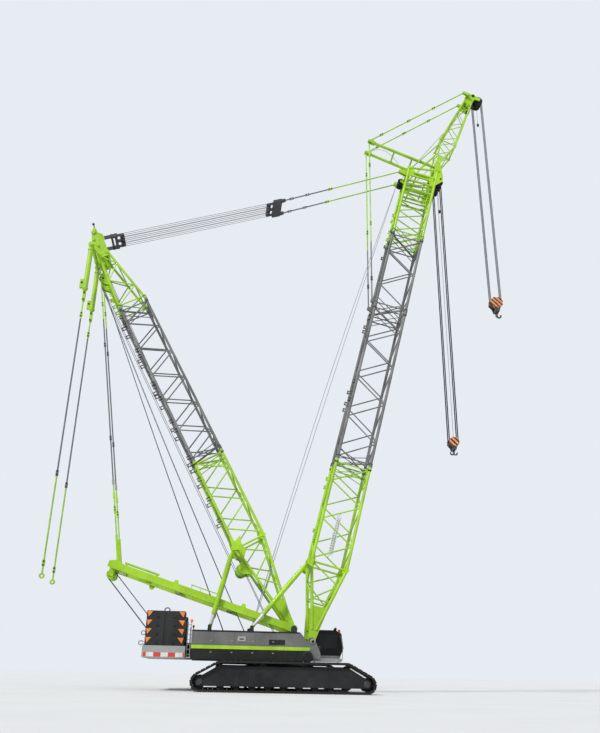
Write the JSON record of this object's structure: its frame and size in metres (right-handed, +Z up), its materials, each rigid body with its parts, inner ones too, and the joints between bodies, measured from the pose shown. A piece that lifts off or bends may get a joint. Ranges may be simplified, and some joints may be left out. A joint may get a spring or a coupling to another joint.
{
  "type": "crawler crane, 1:2 scale model",
  "caption": "Lattice boom crawler crane with fixed jib, luffing mast, A-frame, counterweights, cab and two hook blocks, at half size.",
  "frame": {"origin": "on the ground, on the slewing axis", "axes": "+Z up along the slewing axis, +X ahead, towards the boom's side, +Y to the crane's left"},
  "size_m": [15.3308, 4.2, 23.4292],
  "materials": {
    "lime_paint": "gloss, weathered",
    "worn_grey_paint": "matt, dusty and worn",
    "dark_paint": "satin, dusty",
    "grey_paint": "satin",
    "track_steel": "matt, worn bright on the treads",
    "slab_iron": "painted, matt",
    "bare_steel": "greased",
    "chrome_rod": "polished",
    "rope_steel": "greased wire rope",
    "cab_glass": "tinted",
    "seat_fabric": "woven",
    "hook_orange": "gloss, striped"
  },
  "bodies": {
    "undercarriage": {"carbody": "dark_paint", "crawler_frame_right": "dark_paint", "crawler_frame_left": "dark_paint", "track_right": "track_steel", "track_left": "track_steel", "rollers": "dark_paint", "carbody_weights": "slab_iron"},
    "upper": {"turntable": "dark_paint", "main_frame": "dark_paint", "housing_right": "grey_paint", "housing_left": "grey_paint", "engine": "dark_paint", "winches": "bare_steel", "cab_platform": "grey_paint", "cab_shell": "grey_paint", "cab_glass": "cab_glass", "cab_seat": "seat_fabric", "counterweight_tray": "grey_paint", "slabs_right": "slab_iron", "slabs_left": "slab_iron"},
    "cab_door": {"cab_door": "grey_paint"},
    "boom": {"boom_base": "lime_paint", "boom_insert_long": "worn_grey_paint", "boom_insert_short": "worn_grey_paint", "boom_top": "lime_paint", "boom_sheaves": "dark_paint", "jib": "lime_paint", "jib_sheaves": "dark_paint", "jib_strut": "lime_paint", "jib_stays": "lime_paint"},
    "mast": {"mast_base": "lime_paint", "mast_insert": "worn_grey_paint", "mast_top": "lime_paint", "mast_winch": "bare_steel", "gantry": "lime_paint", "gantry_stays": "worn_grey_paint", "gantry_ropes": "rope_steel"},
    "boom_stop_tubes": {"boom_stop_tubes": "lime_paint"},
    "boom_stop_rods": {"boom_stop_rods": "chrome_rod"},
    "mast_stop_tubes": {"mast_stop_tubes": "lime_paint"},
    "mast_stop_rods": {"mast_stop_rods": "chrome_rod"},
    "tackle_links": {"tackle_links": "lime_paint"},
    "mast_block": {"mast_block": "grey_paint"},
    "luff_ropes": {"luff_ropes": "rope_steel"},
    "floating_block": {"floating_block": "grey_paint"},
    "boom_pendants": {"boom_pendants": "lime_paint"},
    "ballast_stays": {"ballast_stays": "lime_paint"},
    "main_falls": {"main_falls": "rope_steel"},
    "main_hook": {"main_hook": "hook_orange"},
    "aux_falls": {"aux_falls": "rope_steel"},
    "aux_hook": {"aux_hook": "hook_orange"}
  },
  "joints": [
    {"name": "slew", "type": "hinge", "parent": "undercarriage", "child": "upper", "pos_m": [0, 0, 0.84], "axis": [0, 0, 1], "continuous": true},
    {"name": "cab_door_slide", "type": "slide", "parent": "upper", "child": "cab_door", "axis": [-1, 0, 0], "range_m": [0, 0.36]},
    {"name": "boom_luff", "type": "hinge", "parent": "upper", "child": "boom", "pos_m": [0.92, 0, 1.405], "axis": [0, -1, 0], "range_deg": [-34, 8]},
    {"name": "mast_luff", "type": "hinge", "parent": "upper", "child": "mast", "pos_m": [0.375, 0, 1.725], "axis": [0, 1, 0], "range_deg": [-3.5, 4.5], "deforming": ["gantry_ropes"]},
    {"name": "boom_stop_turn", "type": "hinge", "parent": "boom", "child": "boom_stop_tubes", "pos_m": [0.75255, 0, 3.64724], "axis": [0, -1, 0], "range_deg": [-3.21, 13.64]},
    {"name": "boom_stop_stroke", "type": "slide", "parent": "boom_stop_tubes", "child": "boom_stop_rods", "axis": [-0.6452, 0, -0.764], "range_m": [-0.2006, 0.8524]},
    {"name": "mast_stop_turn", "type": "hinge", "parent": "mast", "child": "mast_stop_tubes", "pos_m": [-1.54553, 0, 3.96244], "axis": [0, -1, 0], "range_deg": [-0.94, 1.21]},
    {"name": "mast_stop_stroke", "type": "slide", "parent": "mast_stop_tubes", "child": "mast_stop_rods", "axis": [-0.24, 0, -0.9708], "range_m": [-0.1493, 0.1919]},
    {"name": "tackle_turn", "type": "hinge", "parent": "mast", "child": "tackle_links", "pos_m": [-6.81366, 0, 14.7968], "axis": [0, -1, 0], "range_deg": [-2.72, 3.5]},
    {"name": "tackle_sweep", "type": "hinge", "parent": "tackle_links", "child": "mast_block", "pos_m": [-6.49255, 0, 14.90856], "axis": [0, -1, 0], "range_deg": [-21.11, 4.97]},
    {"name": "tackle_reeve", "type": "slide", "parent": "mast_block", "child": "luff_ropes", "axis": [0.9444, 0, 0.3287], "range_m": [-2.0551, 8.7343], "deforming": ["luff_ropes"]},
    {"name": "tackle_take_up", "type": "slide", "parent": "luff_ropes", "child": "floating_block", "axis": [0.9444, 0, 0.3287], "range_m": [-1.19, 0.9256]},
    {"name": "pendant_turn", "type": "hinge", "parent": "floating_block", "child": "boom_pendants", "pos_m": [-0.29572, 0, 17.06529], "axis": [0, -1, 0], "range_deg": [-6.94, 1.63]},
    {"name": "ballast_stay_swing", "type": "hinge", "parent": "mast", "child": "ballast_stays", "pos_m": [-7.05273, 0, 14.2504], "axis": [0, 1, 0], "range_deg": [-4.59, 3.57]},
    {"name": "main_falls_swing", "type": "hinge", "parent": "boom", "child": "main_falls", "pos_m": [5.84861, 0, 18.5879], "axis": [0, -1, 0], "range_deg": [-8.16, 34.68]},
    {"name": "main_hoist", "type": "slide", "parent": "main_falls", "child": "main_hook", "axis": [0, 0, -1], "range_m": [-9, 6.3], "deforming": ["main_falls"]},
    {"name": "aux_falls_swing", "type": "hinge", "parent": "boom", "child": "aux_falls", "pos_m": [7.85631, 0, 23.173], "axis": [0, -1, 0], "range_deg": [-8.16, 34.68]},
    {"name": "aux_hoist", "type": "slide", "parent": "aux_falls", "child": "aux_hook", "axis": [0, 0, -1], "range_m": [-8.6, 12.2], "deforming": ["aux_falls"]}
  ],
  "couplings": [
    {"joint": "boom_stop_turn", "follows": "boom_luff", "ratio": -0.39336},
    {"joint": "boom_stop_stroke", "follows": "boom_luff", "m_per_rad": -1.4083},
    {"joint": "mast_stop_turn", "follows": "mast_luff", "ratio": 0.26393},
    {"joint": "mast_stop_stroke", "follows": "mast_luff", "m_per_rad": 2.3955},
    {"joint": "tackle_turn", "follows": "mast_luff", "ratio": 0.76306},
    {"joint": "tackle_sweep", "follows": "boom_luff", "ratio": 0.60858},
    {"joint": "tackle_reeve", "follows": "boom_luff", "m_per_rad": -14.43},
    {"joint": "tackle_take_up", "follows": "mast_luff", "m_per_rad": -14.855},
    {"joint": "pendant_turn", "follows": "boom_luff", "ratio": 0.2},
    {"joint": "ballast_stay_swing", "follows": "mast_luff", "ratio": -1},
    {"joint": "main_falls_swing", "follows": "boom_luff", "ratio": -1},
    {"joint": "aux_falls_swing", "follows": "boom_luff", "ratio": -1}
  ]
}
